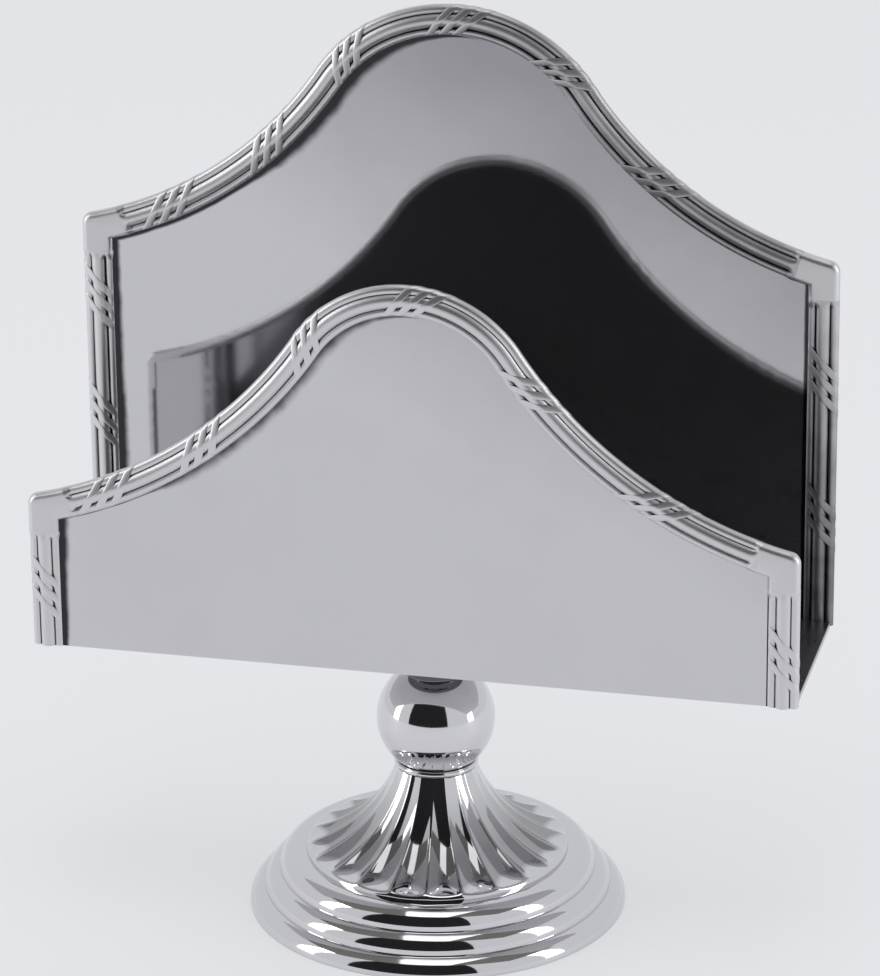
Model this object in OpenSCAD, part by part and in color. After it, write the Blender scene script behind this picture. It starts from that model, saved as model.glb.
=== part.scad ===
// Pedestal napkin holder in silver-plated brass.
// Two upright plates with a serpentine top edge stand on a floor plate and hold the napkins.
// A reeded wire covers the top and side edges of each plate, with a plain corner piece at each end.
// The tray stands on a turned pedestal that one threaded rod pulls together.
// Millimetres, Z up, X along the plates, front towards -Y, origin on the table under the pedestal.

/* [Tray] */
// Width of both plates, over the side borders
plate_w = 145; // [120:1:180]
// Thickness of the plate sheet
plate_t = 1.2; // [0.8:0.1:1.6]
// Clear depth between the two plates
slot_d = 38; // [28:1:60]
// Thickness of the floor sheet
floor_t = 1.2; // [0.8:0.1:2]
// How far the ends of the floor lie inside the ends of the plates
floor_inset = 0.4; // [0.2:0.1:3]
// Height of the front plate at its two ends
front_side_h = 30; // [24:1:40]
// Height of the front plate at its middle
front_peak_h = 76; // [66:1:90]
// Radius of the front plate's rounded crown, over the border
front_crown_r = 25.5; // [20:0.5:32]
// Height of the back plate at its two ends
back_side_h = 72; // [60:1:85]
// Height of the back plate at its middle
back_peak_h = 117; // [105:1:135]
// Radius of the back plate's rounded crown, over the border
back_crown_r = 32; // [24:0.5:38]
// Angle at which the top edge leaves each end, in degrees above level
end_rise = 12; // [4:1:18]

/* [Border] */
// Radius of the reed along the outer edge
outer_reed_r = 1; // [0.8:0.05:1.2]
// Radius of the thick reed in the middle
middle_reed_r = 1.6; // [1.3:0.05:1.9]
// Radius of the reed along the inner edge
inner_reed_r = 1; // [0.9:0.05:1.2]
// Step from the outer reed to the middle reed
outer_step = 1.9; // [1.6:0.05:2.2]
// Step from the middle reed to the inner reed
inner_step = 2; // [1.7:0.05:2.2]
// Wire left outside the edge of the plate
edge_cover = 1.8; // [1.2:0.1:2.4]
// Film of solder between the plate and the border
solder_gap = 0.05; // [0.02:0.01:0.1]
// Length of each arm of a corner piece
corner_arm = 7; // [7:0.5:14]
// Thickness of a corner piece, from the back of the outer reed
corner_t = 2.5; // [2.3:0.05:3]

/* [Pedestal] */
// Radius of the flange under the floor
flange_r = 11; // [8:0.5:15]
// Thickness of the flange
flange_t = 1.6; // [1:0.1:3]
// Radius of the neck that stands on the ball
neck_r = 6; // [4.2:0.1:7]
// Height of the neck with its flange
neck_h = 7.4; // [6:0.1:14]
// Radius of the cove between neck and flange
neck_cove_r = 3.2; // [1:0.1:4]
// Radius of the ball
ball_r = 11.25; // [9:0.25:14]
// Radius of the ring under the ball
ring_r = 8; // [6.4:0.1:9]
// Height of the ring, which has a half-round edge
ring_h = 1.2; // [1:0.1:3]
// Radius at the top of the fluted stem
stem_top_r = 7.7; // [6.6:0.1:9]
// Height of the fluted stem
stem_h = 17.4; // [13:0.1:22]
// Radius at the rim of the fluted stem
stem_rim_r = 25; // [22:0.5:26]
// Height of the upright edge of that rim
stem_rim_t = 1.2; // [0.8:0.1:2]
// Radius of the stem's hollow flare, seen from the side
stem_flare_r = 25; // [20:0.5:40]
// Wall of the stem
stem_wall = 2.2; // [1.8:0.1:3]
// Thickness of the stem's closed top
stem_cap_t = 4; // [3:0.5:8]
// Number of flutes round the stem
flute_count = 22; // [12:1:24]
// Radius of a flute's hollow
flute_r = 2.2; // [1.6:0.1:3]
// Depth of a flute at the top of the stem
flute_top_depth = 0.2; // [0.1:0.05:0.3]
// Depth of a flute at the rim
flute_rim_depth = 1.2; // [0.6:0.1:1.4]

/* [Foot] */
// Radius of the foot where it meets the table
foot_r = 36; // [34:0.5:48]
// Height of the foot
foot_h = 10.6; // [9:0.1:15]
// Number of rounded steps
step_count = 3; // [2:1:4]
// How far each step lies inside the one below
step_run = 2.9; // [2.2:0.1:4]
// Radius of the rounded edge of a step
step_round_r = 3.4; // [1.6:0.1:3.5]
// Wall of the spun foot
foot_wall = 1.2; // [0.8:0.1:1.4]

/* [Fastening] */
// Diameter of the threaded rod
rod_d = 6; // [4:0.5:6]
// Clearance round the rod in the pieces that it passes through
rod_clearance = 0.2; // [0.1:0.05:0.4]
// Clearance of the rod in the thread of the neck and nut
thread_clearance = 0.05; // [0.02:0.01:0.1]
// Length of rod below the nut
rod_tail = 1; // [0.5:0.1:2]
// Width of the nut across its flats
nut_af = 10; // [8:0.5:12]
// Height of the nut
nut_h = 4.5; // [3:0.1:5]
// Radius of the washer under the foot's top
washer_r = 9; // [7:0.5:12]
// Thickness of the washer
washer_t = 1.4; // [0.8:0.1:2]

/* [Hidden] */
$fn = 96;
// Straight lengths that draw one arc of a plate's outline
arc_steps = 32;
// How far every cutting shape runs past what it cuts
overrun = 1;

// Finishes as the eye reads them: polished sheet, worked border, turned pedestal, plain steel
sheet_colour = [0.80, 0.80, 0.82];
border_colour = [0.72, 0.72, 0.74];
pedestal_colour = [0.76, 0.76, 0.78];
steel_colour = [0.55, 0.55, 0.57];

// One plate is described by its height at the ends, its height at the peak and its crown radius
FRONT = [front_side_h, front_peak_h, front_crown_r];
BACK = [back_side_h, back_peak_h, back_crown_r];
// Middle planes of the two plates
front_y = -(slot_d + plate_t) / 2;
back_y = (slot_d + plate_t) / 2;

// Width of the border and the places of its reeds, measured in from the outer edge
middle_reed_at = outer_reed_r + outer_step;
inner_reed_at = middle_reed_at + inner_step;
border_w = inner_reed_at + inner_reed_r;

// Heights at which the pieces of the pedestal meet
stem_z = foot_h;
ring_z = stem_z + stem_h;
ball_z = ring_z + ring_h;
ball_seat_r = ring_r - ring_h / 2;
ball_centre_z = ball_z + sqrt(ball_r * ball_r - ball_seat_r * ball_seat_r);
neck_z = ball_centre_z + sqrt(ball_r * ball_r - neck_r * neck_r);
tray_z = neck_z + neck_h;

// Ends of the stack that the rod pulls together
washer_z = foot_h - foot_wall - washer_t;
nut_z = washer_z - nut_h;
rod_bottom_z = nut_z - rod_tail;
rod_top_z = tray_z - flange_t;
rod_hole_r = rod_d / 2 + rod_clearance;
thread_hole_r = rod_d / 2 + thread_clearance;

// Points on an arc, from one angle to another
function arc(centre, r, from, to) =
    [for (i = [0 : arc_steps]) centre + r * unit(from + (to - from) * i / arc_steps)];
function unit(a) = [cos(a), sin(a)];

// The top edge of a plate is a crown arc between two scoop arcs that touch it without a kink
function crown_centre(p) = [0, p[1] - p[2]];
function end_lean() = [sin(end_rise), cos(end_rise)];
function end_point(p) = [plate_w / 2, p[0]];
function scoop_radius(p) =
    let (reach = end_point(p) - crown_centre(p))
    (reach * reach - p[2] * p[2]) / (2 * (p[2] - reach * end_lean()));
function scoop_centre(p) = end_point(p) + scoop_radius(p) * end_lean();
// Angle, seen from the crown's centre, at which crown and scoop meet
function meet_angle(p) =
    let (way = scoop_centre(p) - crown_centre(p))
    atan2(way[1], way[0]);
// Angles, seen from the scoop's centre, of the plate's end and of the end of a corner piece's arm
function end_angle() = 270 - end_rise;
function arm_angle(p) = end_angle() - corner_arm / scoop_radius(p) * 180 / PI;
// Angle at which the scoop, drawn inset, reaches a given distance from the middle
function scoop_angle_at(p, inset, x) =
    360 - acos((x - scoop_centre(p)[0]) / (scoop_radius(p) + inset));

// Right half of a plate's top edge, inset by the same amount all along, from the crown to the end
function top_edge(p, inset) = concat(
    arc(crown_centre(p), p[2] - inset, 90, meet_angle(p)),
    arc(scoop_centre(p), scoop_radius(p) + inset, 180 + meet_angle(p),
        scoop_angle_at(p, inset, plate_w / 2 - inset)));
function mirrored(points) = [for (i = [len(points) - 1 : -1 : 0]) [-points[i][0], points[i][1]]];

// Stands a flat drawing upright at the height of the tray, from its front face back by a thickness
module upright(front, t) {
    translate([0, front + t, tray_z]) rotate([90, 0, 0]) linear_extrude(t) children();
}

// Outline of a plate, with its top and sides inset
module plate_outline(p, inset) {
    half = plate_w / 2 - inset;
    edge = top_edge(p, inset);
    polygon(concat([[half, 0], [-half, 0]], mirrored(edge), edge));
}

module plate(p, y) {
    upright(y - plate_t / 2, plate_t) plate_outline(p, edge_cover + solder_gap);
}

// Section of the border wire: three reeds side by side in front, and a rebate behind for the plate's edge
// The outer edge lies at zero, the wire runs in along +X and the reeds face +Y
module reed_section() {
    difference() {
        union() {
            translate([outer_reed_r, 0]) circle(outer_reed_r);
            intersection() {
                union() {
                    translate([middle_reed_at, 0]) circle(middle_reed_r);
                    translate([inner_reed_at, 0]) circle(inner_reed_r);
                }
                square([border_w + overrun, middle_reed_r + overrun]);
            }
        }
        translate([edge_cover, -middle_reed_r])
            square([border_w, middle_reed_r + plate_t / 2 + solder_gap]);
    }
}

// Right half of the border along the top edge, laid out from where crown and scoop meet
// The crown is swept past the peak and cut off at the middle of the plate
module half_top_moulding(p) {
    meet = meet_angle(p);
    intersection() {
        translate(crown_centre(p)) rotate([0, 0, meet]) {
            rotate_extrude(angle = 90, start = 0)
                translate([p[2], 0]) mirror([1, 0]) reed_section();
            translate([p[2], 0]) translate([scoop_radius(p), 0])
                rotate_extrude(angle = arm_angle(p) - 180 - meet, start = 180)
                    translate([scoop_radius(p), 0]) reed_section();
        }
        translate([0, 0, -border_w]) cube([plate_w, p[1] + overrun, 2 * border_w]);
    }
}

// The border along the top edge, bent from one wire between the two corner pieces
module top_moulding(p, y) {
    translate([0, y, tray_z]) rotate([90, 0, 0]) {
        half_top_moulding(p);
        mirror([1, 0, 0]) half_top_moulding(p);
    }
}

// The border up one end of a plate; side is 1 on the right and -1 on the left
module stile(p, y, side) {
    translate([side * plate_w / 2, y, tray_z])
        linear_extrude(p[0] - corner_arm)
            mirror([side > 0 ? 1 : 0, 0]) mirror([0, 1]) reed_section();
}

// Flat outline of the right-hand corner piece: one arm along the top, one down the side
module corner_outline(p) {
    inner = plate_w / 2 - border_w;
    foot_of_arm = p[0] - corner_arm;
    polygon(concat(
        [[plate_w / 2, foot_of_arm]],
        arc(scoop_centre(p), scoop_radius(p), end_angle(), arm_angle(p)),
        arc(scoop_centre(p), scoop_radius(p) + border_w, arm_angle(p),
            scoop_angle_at(p, border_w, inner)),
        [[inner, foot_of_arm]]));
}

module corner(p, y, side) {
    mirror([side > 0 ? 0 : 1, 0, 0]) difference() {
        upright(y + outer_reed_r - corner_t, corner_t) corner_outline(p);
        upright(y - plate_t / 2 - solder_gap, corner_t + overrun) plate_outline(p, edge_cover);
    }
}

module front_plate() { color(sheet_colour) plate(FRONT, front_y); }
module back_plate() { color(sheet_colour) plate(BACK, back_y); }

// Notch in the floor's right end at the back, for a border of a width that stands out from a plate's middle
module floor_notch(w, reach) {
    notch_w = w + solder_gap;
    notch_d = reach - plate_t / 2 + solder_gap;
    translate([plate_w / 2 - notch_w, slot_d / 2 - notch_d, tray_z - overrun])
        cube([notch_w + overrun, notch_d + overrun, floor_t + 2 * overrun]);
}

// The floor fits between the plates and is notched for the reeds behind it and the plain edge before it
module floor_plate() {
    floor_w = plate_w - 2 * floor_inset;
    color(sheet_colour) difference() {
        translate([-floor_w / 2, -slot_d / 2, tray_z]) cube([floor_w, slot_d, floor_t]);
        for (x = [0, 1]) mirror([x, 0, 0]) {
            floor_notch(border_w, middle_reed_r);
            mirror([0, 1, 0]) floor_notch(edge_cover, outer_reed_r);
        }
    }
}

module front_top_moulding() { color(border_colour) top_moulding(FRONT, front_y); }
module back_top_moulding() { color(border_colour) top_moulding(BACK, back_y); }
module front_left_stile() { color(border_colour) stile(FRONT, front_y, -1); }
module front_right_stile() { color(border_colour) stile(FRONT, front_y, 1); }
module back_left_stile() { color(border_colour) stile(BACK, back_y, -1); }
module back_right_stile() { color(border_colour) stile(BACK, back_y, 1); }
module front_left_corner() { color(sheet_colour) corner(FRONT, front_y, -1); }
module front_right_corner() { color(sheet_colour) corner(FRONT, front_y, 1); }
module back_left_corner() { color(sheet_colour) corner(BACK, back_y, -1); }
module back_right_corner() { color(sheet_colour) corner(BACK, back_y, 1); }

// Flange and neck in one turned piece, soldered under the floor and tapped for the rod
module neck_collar() {
    shoulder_z = neck_h - flange_t;
    color(pedestal_colour) translate([0, 0, neck_z]) rotate_extrude() {
        translate([thread_hole_r, 0]) square([neck_r - thread_hole_r, neck_h]);
        translate([0, shoulder_z]) square([flange_r, flange_t]);
        difference() {
            translate([thread_hole_r, shoulder_z - neck_cove_r])
                square([neck_r + neck_cove_r - thread_hole_r, neck_cove_r]);
            translate([neck_r + neck_cove_r, shoulder_z - neck_cove_r]) circle(neck_cove_r);
        }
    }
}

// Ball with a flat seat for the neck above and a wider one for the ring below
module ball_knop() {
    color(pedestal_colour) difference() {
        translate([0, 0, ball_centre_z]) sphere(ball_r);
        translate([0, 0, neck_z]) cylinder(h = ball_r, r = ball_r);
        translate([0, 0, ball_z - ball_r]) cylinder(h = ball_r, r = ball_r);
        translate([0, 0, ball_z - overrun])
            cylinder(h = neck_z - ball_z + 2 * overrun, r = rod_hole_r);
    }
}

module ring_collar() {
    edge_r = ring_h / 2;
    color(pedestal_colour) translate([0, 0, ring_z]) rotate_extrude() {
        translate([rod_hole_r, 0]) square([ball_seat_r - rod_hole_r, ring_h]);
        intersection() {
            translate([ball_seat_r, edge_r]) circle(edge_r);
            translate([ball_seat_r, 0]) square([ring_h, ring_h]);
        }
    }
}

// The stem's flare is an arc from its top edge to its rim, hollow towards the outside
stem_top = [stem_top_r, stem_h];
stem_rim = [stem_rim_r, stem_rim_t];
flare_chord = stem_rim - stem_top;
flare_out = [-flare_chord[1], flare_chord[0]] / norm(flare_chord);
flare_centre = (stem_top + stem_rim) / 2
    + flare_out * sqrt(pow(stem_flare_r, 2) - pow(norm(flare_chord) / 2, 2));
// A flute is a ring-shaped hollow that sinks deeper towards the rim
flare_turn = (stem_rim - stem_top) / stem_flare_r;
flute_shift = flare_turn * (flute_rim_depth - flute_top_depth) / (flare_turn * flare_turn);
flute_centre = flare_centre + flute_shift;
flute_path_r = stem_flare_r - flute_r + flute_top_depth
    - flute_shift * (stem_top - flare_centre) / stem_flare_r;

module fluted_stem() {
    color(pedestal_colour) translate([0, 0, stem_z]) difference() {
        rotate_extrude() difference() {
            intersection() {
                square([stem_rim_r, stem_h]);
                union() {
                    translate(flare_centre) circle(stem_flare_r + stem_wall);
                    translate([0, stem_h - stem_cap_t]) square([stem_top_r + stem_wall, stem_cap_t]);
                }
            }
            translate(flare_centre) circle(stem_flare_r);
            square([rod_hole_r, stem_h + overrun]);
        }
        for (i = [0 : flute_count - 1])
            rotate([0, 0, 360 * i / flute_count])
                translate([flute_centre[0], 0, flute_centre[1]]) rotate([90, 0, 0])
                    rotate_extrude() translate([flute_path_r, 0]) circle(flute_r);
    }
}

// Half section of the stepped foot; inset draws the same steps smaller, for the hollow inside
module foot_section(inset) {
    rise = foot_h / step_count;
    round_r = step_round_r - inset;
    for (i = [0 : step_count - 1]) {
        outer = foot_r - i * step_run - inset;
        top = (i + 1) * rise - inset;
        square([outer - round_r, top]);
        square([outer, top - round_r]);
        translate([outer - round_r, top - round_r]) circle(round_r);
    }
}

module stepped_foot() {
    color(pedestal_colour) difference() {
        rotate_extrude() intersection() {
            foot_section(0);
            square([foot_r, foot_h]);
        }
        rotate_extrude() intersection() {
            foot_section(foot_wall);
            square([foot_r, foot_h]);
        }
        cylinder(h = foot_h + overrun, r = rod_hole_r);
    }
}

module tie_rod() {
    color(steel_colour) translate([0, 0, rod_bottom_z])
        cylinder(h = rod_top_z - rod_bottom_z, r = rod_d / 2);
}

module foot_washer() {
    color(steel_colour) translate([0, 0, washer_z]) difference() {
        cylinder(h = washer_t, r = washer_r);
        translate([0, 0, -overrun]) cylinder(h = washer_t + 2 * overrun, r = rod_hole_r);
    }
}

module foot_nut() {
    color(steel_colour) translate([0, 0, nut_z]) difference() {
        cylinder(h = nut_h, r = nut_af / 2 / cos(30), $fn = 6);
        translate([0, 0, -overrun]) cylinder(h = nut_h + 2 * overrun, r = thread_hole_r);
    }
}

front_plate();
back_plate();
floor_plate();
front_top_moulding();
back_top_moulding();
front_left_stile();
front_right_stile();
back_left_stile();
back_right_stile();
front_left_corner();
front_right_corner();
back_left_corner();
back_right_corner();
neck_collar();
ball_knop();
ring_collar();
fluted_stem();
stepped_foot();
tie_rod();
foot_washer();
foot_nut();
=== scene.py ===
"""Looks of a pedestal napkin holder in silver plate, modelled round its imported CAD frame."""

import math
from functools import partial

import bmesh
import bpy
from bpy.props import FloatProperty, FloatVectorProperty, IntProperty, PointerProperty
from mathutils import Matrix, Vector


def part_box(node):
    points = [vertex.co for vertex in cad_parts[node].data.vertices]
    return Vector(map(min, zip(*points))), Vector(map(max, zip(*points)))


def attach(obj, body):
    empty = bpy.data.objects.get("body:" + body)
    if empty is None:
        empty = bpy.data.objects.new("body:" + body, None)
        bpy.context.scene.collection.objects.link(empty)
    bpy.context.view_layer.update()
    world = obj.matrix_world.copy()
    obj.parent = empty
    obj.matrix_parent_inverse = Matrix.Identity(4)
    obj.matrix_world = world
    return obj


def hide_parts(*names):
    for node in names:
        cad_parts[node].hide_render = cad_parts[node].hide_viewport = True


bl_info = {
    "name": "Pedestal napkin holder",
    "version": (1, 0, 0),
    "blender": (4, 5, 0),
    "location": "View3D > Sidebar > Napkin holder",
    "description": "Models a silver-plated napkin holder round its CAD frame",
    "category": "Object",
}

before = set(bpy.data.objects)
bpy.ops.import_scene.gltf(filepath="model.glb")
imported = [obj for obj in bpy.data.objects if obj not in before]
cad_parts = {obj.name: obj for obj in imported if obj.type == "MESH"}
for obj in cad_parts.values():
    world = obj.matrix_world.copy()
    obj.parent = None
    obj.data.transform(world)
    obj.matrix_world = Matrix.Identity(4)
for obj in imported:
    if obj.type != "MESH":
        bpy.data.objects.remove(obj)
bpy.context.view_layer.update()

MM = 0.001
TURN = 2 * math.pi
# Points nearer than this fall together, and edges sharper than this stay crisp on borders and corners
TINY = MM / 500
CRISP = math.radians(40)

# The finishes, by the names of their materials; each plate has its own, for the painted shade by its border
SHEET = "Silver plate, buffed sheet"
FLOOR = "Silver plate, dull sheet"
BORDER = "Silver plate, struck border"
CORNER = "Silver plate, plain corner"
TURNED = "Silver plate, turned and polished"
STEEL = "Zinc-bright steel"

# The painted shade along the border's inner edge on each plate. In millimetres: its width at the foot and
# the top of the left border, beside the right border, under the flat part of the top border and in the
# left shoulder, and where the shade in the shoulder begins and ends, to the right of the middle. Then the
# share of its width that the shade under the top border lacks
SEAMS = {
    "front": {
        "left": (1, 2), "right": 0.02, "flat": 0.3, "shoulder": 3.2,
        "begins": (-50, -40), "ends": (-16, 4), "thinner": 0.62,
    },
    "back": {
        "left": (2.1, 1.2), "right": 0.6, "flat": 0.7, "shoulder": 2.4,
        "begins": (-42, -27), "ends": (-20, 6), "thinner": 0.1,
    },
}

# Where the ribbons are tied round each border, in millimetres: from the middle of a top border towards the
# right, and from the tray's floor up the side borders
TIES = {
    "front_top": (-73, -52.6, -24, 2, 32.2, 61.7),
    "back_top": (-70.4, -47.7, -24.1, 0.9, 25.6, 52),
    "front_left": (12,),
    "front_right": (9,),
    "back_left": (56, 32, 9),
    "back_right": (49, 22),
}


def linear(code):
    """An sRGB hex colour as the linear numbers that Blender's sockets take."""
    parts = [int(code[i : i + 2], 16) / 255 for i in (0, 2, 4)]
    return [c / 12.92 if c <= 0.04045 else ((c + 0.055) / 1.055) ** 2.4 for c in parts]


def low(name):
    """The lowest corner of a CAD node."""
    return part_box(name)[0]


def high(name):
    """The highest corner of a CAD node."""
    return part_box(name)[1]


def length(name, description, default):
    """A length that the user can change."""
    return FloatProperty(name=name, description=description, default=default, min=0, unit="LENGTH")


def angle(name, description, degrees):
    """An angle that the user can change."""
    return FloatProperty(name=name, description=description, default=math.radians(degrees), unit="ROTATION")


def colour(name, description, code):
    """A colour that the user can change."""
    return FloatVectorProperty(
        name=name, description=description, default=linear(code), subtype="COLOR", size=3, min=0, max=1
    )


class TraySizes(bpy.types.PropertyGroup):
    """The outlines of the two plates that carry the border."""

    half_width: length("Half width", "Half the width over the side borders", high("front_right_stile").x)
    floor_height: length("Floor height", "Height of the tray's underside", low("front_plate").z)
    front_peak: length(
        "Front peak", "Height of the front plate's crown over the tray's underside",
        high("front_top_moulding").z - low("front_plate").z,
    )
    back_peak: length(
        "Back peak", "Height of the back plate's crown over the tray's underside",
        high("back_top_moulding").z - low("back_plate").z,
    )
    front_crown: length("Front crown", "Radius of the front plate's crown, over the border", 25.5 * MM)
    back_crown: length("Back crown", "Radius of the back plate's crown, over the border", 32 * MM)
    end_rise: angle("End rise", "Angle at which the top edge leaves each end", 12)


class BorderSizes(bpy.types.PropertyGroup):
    """The reeded wire and the ribbons tied round it."""

    outer_reed: length("Outer reed", "Radius of the reed along the outer edge", 1 * MM)
    middle_reed: length("Middle reed", "Radius of the thick reed in the middle", 1.6 * MM)
    inner_reed: length("Inner reed", "Radius of the reed along the inner edge", 1 * MM)
    outer_step: length("Outer step", "From the outer reed to the middle reed", 1.9 * MM)
    inner_step: length("Inner step", "From the middle reed to the inner reed", 2 * MM)
    edge_cover: length("Edge cover", "Wire left outside the edge of the plate", 1.8 * MM)
    rebate: length("Rebate", "From the plate's middle plane to the face that is soldered on it", 0.65 * MM)
    groove: length("Groove", "How far the grooves between the reeds are chased down", 0.15 * MM)
    end_run: length("End run", "Length over which the reeds grow out of a plain end", 2 * MM)
    end_slant: length("End slant", "How much later the inner reed starts than the outer one", 0.5 * MM)
    corner_arm: length("Corner arm", "Length of each arm of a corner piece", 7 * MM)
    corner_thickness: length(
        "Corner thickness", "Thickness of a corner piece",
        high("front_left_corner").y - low("front_left_corner").y,
    )
    corner_round: length("Corner round", "Softening of a corner piece's edges", 1.2 * MM)
    corner_turn: length("Corner turn", "Radius of a corner piece's outer corner", 2.2 * MM)
    ribbon_width: length("Ribbon width", "Width of one ribbon, along the border", 1.9 * MM)
    ribbon_pitch: length("Ribbon pitch", "From one ribbon of a tie to the next", 3.1 * MM)
    ribbon_lean: length("Ribbon lean", "How far a ribbon runs along the border as it crosses it", 6.6 * MM)
    ribbon_lift: length("Ribbon lift", "How far a ribbon stands proud of the reeds", 0.08 * MM)
    ribbon_count: IntProperty(name="Ribbons", description="Ribbons in one tie", default=3, min=1, max=5)


class PedestalSizes(bpy.types.PropertyGroup):
    """The turned pieces under the tray."""

    rod_hole: length("Rod hole", "Radius of the hole for the rod", 3.2 * MM)
    neck: length("Neck", "Radius of the neck that stands on the ball", 6 * MM)
    neck_cove: length("Neck cove", "Radius of the cove between neck and flange", 3.2 * MM)
    flange_thickness: length("Flange thickness", "Thickness of the flange under the floor", 1.6 * MM)
    stem_top: length("Stem top", "Radius at the top of the fluted stem", 7.7 * MM)
    stem_rim: length("Stem rim", "Height of the upright edge of the stem's rim", 1.2 * MM)
    rim_round: length("Rim round", "Radius of the rounded edge of the stem's rim", 1.2 * MM)
    stem_flare: length("Stem flare", "Radius of the stem's hollow flare, seen from the side", 25 * MM)
    stem_wall: length("Stem wall", "Wall of the stem", 2.2 * MM)
    stem_cap: length("Stem cap", "Thickness of the stem's closed top", 4 * MM)
    flutes: IntProperty(name="Flutes", description="Flutes round the stem", default=22, min=8, max=30)
    flute_top_depth: length("Flute depth at the top", "Depth of a flute under the ring", 0.13 * MM)
    flute_depth: length("Flute depth", "Depth of a flute where it is deepest, near the rim", 0.85 * MM)
    flute_rim_depth: length("Flute depth at the rim", "Depth of a flute where it runs out", 0.4 * MM)
    steps: IntProperty(name="Steps", description="Rounded steps of the foot", default=3, min=1, max=5)
    step_run: length("Step run", "How far each step lies inside the one below", 2.9 * MM)
    step_round: length("Step round", "Radius of the rounded edge of a step", 3.4 * MM)
    foot_wall: length("Foot wall", "Wall of the spun foot", 1.2 * MM)


class FinishColours(bpy.types.PropertyGroup):
    """The colours of the metals."""

    silver: colour("Silver", "Clean silver plate", "DEDDDF")
    sheet: colour("Sheet", "Silver plate on the sheets, gone a little dull", "D1D0D3")
    # Also the colour that the sheets are painted darker towards, at the top and the right, as shade
    dull_sheet: colour("Dull sheet", "Where a film of tarnish lies on the sheets", "A3A0A4")
    underside: colour("Underside", "Silver plate under the tray, never polished", "C8C6C9")
    # Sulphide in the grooves, and also the dark painted as shade: beside the borders, on the border's far
    # right and far left groove, on the neck and low in the flutes
    tarnish_and_shade: colour("Tarnish", "Sulphide left in the grooves", "38373A")
    steel: colour("Steel", "Zinc-bright steel", "A9A9AB")


class StageSettings(bpy.types.PropertyGroup):
    """Floor, lamps and camera."""

    floor: colour("Floor", "Pale table top", "EDEEF1")
    surround: colour("Surround", "White tent round the table", "F4F6FA")
    surround_light: FloatProperty(
        name="Surround light", description="Light from the tent", default=0.78, min=0
    )
    top_lamp: FloatProperty(
        name="Top lamp", description="Power of the lamp overhead", default=2.8, unit="POWER"
    )
    side_lamp: FloatProperty(
        name="Side lamps", description="Power of each upright lamp", default=2.2, unit="POWER"
    )
    camera_turn: angle("Camera turn", "How far the camera stands round to the right", 13.61)
    camera_rise: angle("Camera rise", "How far the camera looks down", 21.54)
    camera_roll: angle("Camera roll", "Tilt of the picture", -0.61)
    camera_distance: length("Camera distance", "From the point aimed at to the lens", 920.6 * MM)
    camera_aim: FloatVectorProperty(
        name="Camera aim", description="Point that the camera looks at",
        default=(2.5 * MM, -5.1 * MM, 86.1 * MM), subtype="TRANSLATION", unit="LENGTH",
    )


class NapkinHolder(bpy.types.PropertyGroup):
    """All that a user would change."""

    tray: PointerProperty(type=TraySizes)
    border: PointerProperty(type=BorderSizes)
    pedestal: PointerProperty(type=PedestalSizes)
    finish: PointerProperty(type=FinishColours)
    stage: PointerProperty(type=StageSettings)


# Drawing

def unit(turn):
    """A flat arrow of length one."""
    return Vector((math.cos(turn), math.sin(turn)))


def arc(centre, radius, start, stop, steps):
    """Flat points on an arc, both ends included."""
    return [centre + radius * unit(start + (stop - start) * i / steps) for i in range(steps + 1)]


def begin(name):
    """Starts a piece with an empty mesh, in edit mode."""
    bpy.ops.object.select_all(action="DESELECT")
    bpy.ops.mesh.primitive_plane_add(size=MM)
    piece = bpy.context.object
    piece.name = name
    bpy.ops.object.mode_set(mode="EDIT")
    bpy.ops.mesh.select_all(action="SELECT")
    bpy.ops.mesh.delete(type="VERT")
    return piece


def draw(points):
    """Draws a line in the open mesh by pulling one vertex from point to point."""
    bpy.ops.mesh.primitive_plane_add(size=MM, location=points[0])
    bpy.ops.mesh.merge(type="CENTER")
    for here, there in zip(points, points[1:]):
        bpy.ops.mesh.extrude_vertices_move(TRANSFORM_OT_translate={"value": there - here})


def draw_loop(points):
    """Draws a closed line."""
    draw([*points, points[0]])


def merge():
    """Merges the vertices that fall together."""
    bpy.ops.mesh.remove_doubles(threshold=TINY)


def close(piece, smooth):
    """Turns the faces outwards, leaves edit mode and smooths all but the edges sharper than an angle."""
    bpy.ops.mesh.select_all(action="SELECT")
    bpy.ops.mesh.normals_make_consistent(inside=False)
    bpy.ops.object.mode_set(mode="OBJECT")
    smooth_over(piece, smooth)


def smooth_over(piece, smooth):
    """Smooths a finished mesh, apart from its sharp edges."""
    only(piece)
    bpy.ops.object.shade_smooth_by_angle(angle=smooth)


def only(piece):
    """Makes a piece the one that operators act on."""
    bpy.ops.object.select_all(action="DESELECT")
    piece.select_set(True)
    bpy.context.view_layer.objects.active = piece


def apply(piece, kind, **settings):
    """Adds a modifier with its settings and applies it."""
    only(piece)
    modifier = piece.modifiers.new(kind.title(), kind)
    for key, value in settings.items():
        setattr(modifier, key, value)
    bpy.ops.object.modifier_apply(modifier=modifier.name)


def place(piece, matrix):
    """Moves a piece and puts its place into its mesh."""
    only(piece)
    piece.matrix_world = matrix
    bpy.ops.object.transform_apply(location=True, rotation=True, scale=True)


def dress(piece, finish, slot, *nodes):
    """Gives a piece its finish, and has it stand for CAD nodes on the one rigid body."""
    piece.data.materials.clear()
    piece.data.materials.append(bpy.data.materials[finish])
    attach(piece, "root")
    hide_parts(*nodes)


def turned(name, profile, steps):
    """Spins a closed half profile, given as distance from the axis and height, round the upright axis."""
    piece = begin(name)
    draw_loop([Vector((r, 0, z)) for r, z in profile])
    bpy.ops.mesh.select_all(action="SELECT")
    merge()
    bpy.ops.mesh.spin(steps=steps, angle=TURN, center=(0, 0, 0), axis=(0, 0, 1), use_auto_merge=True)
    bpy.ops.mesh.select_all(action="SELECT")
    merge()
    close(piece, math.radians(32))
    return piece


# The plates' top edge, which is a crown between two scoops

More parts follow.
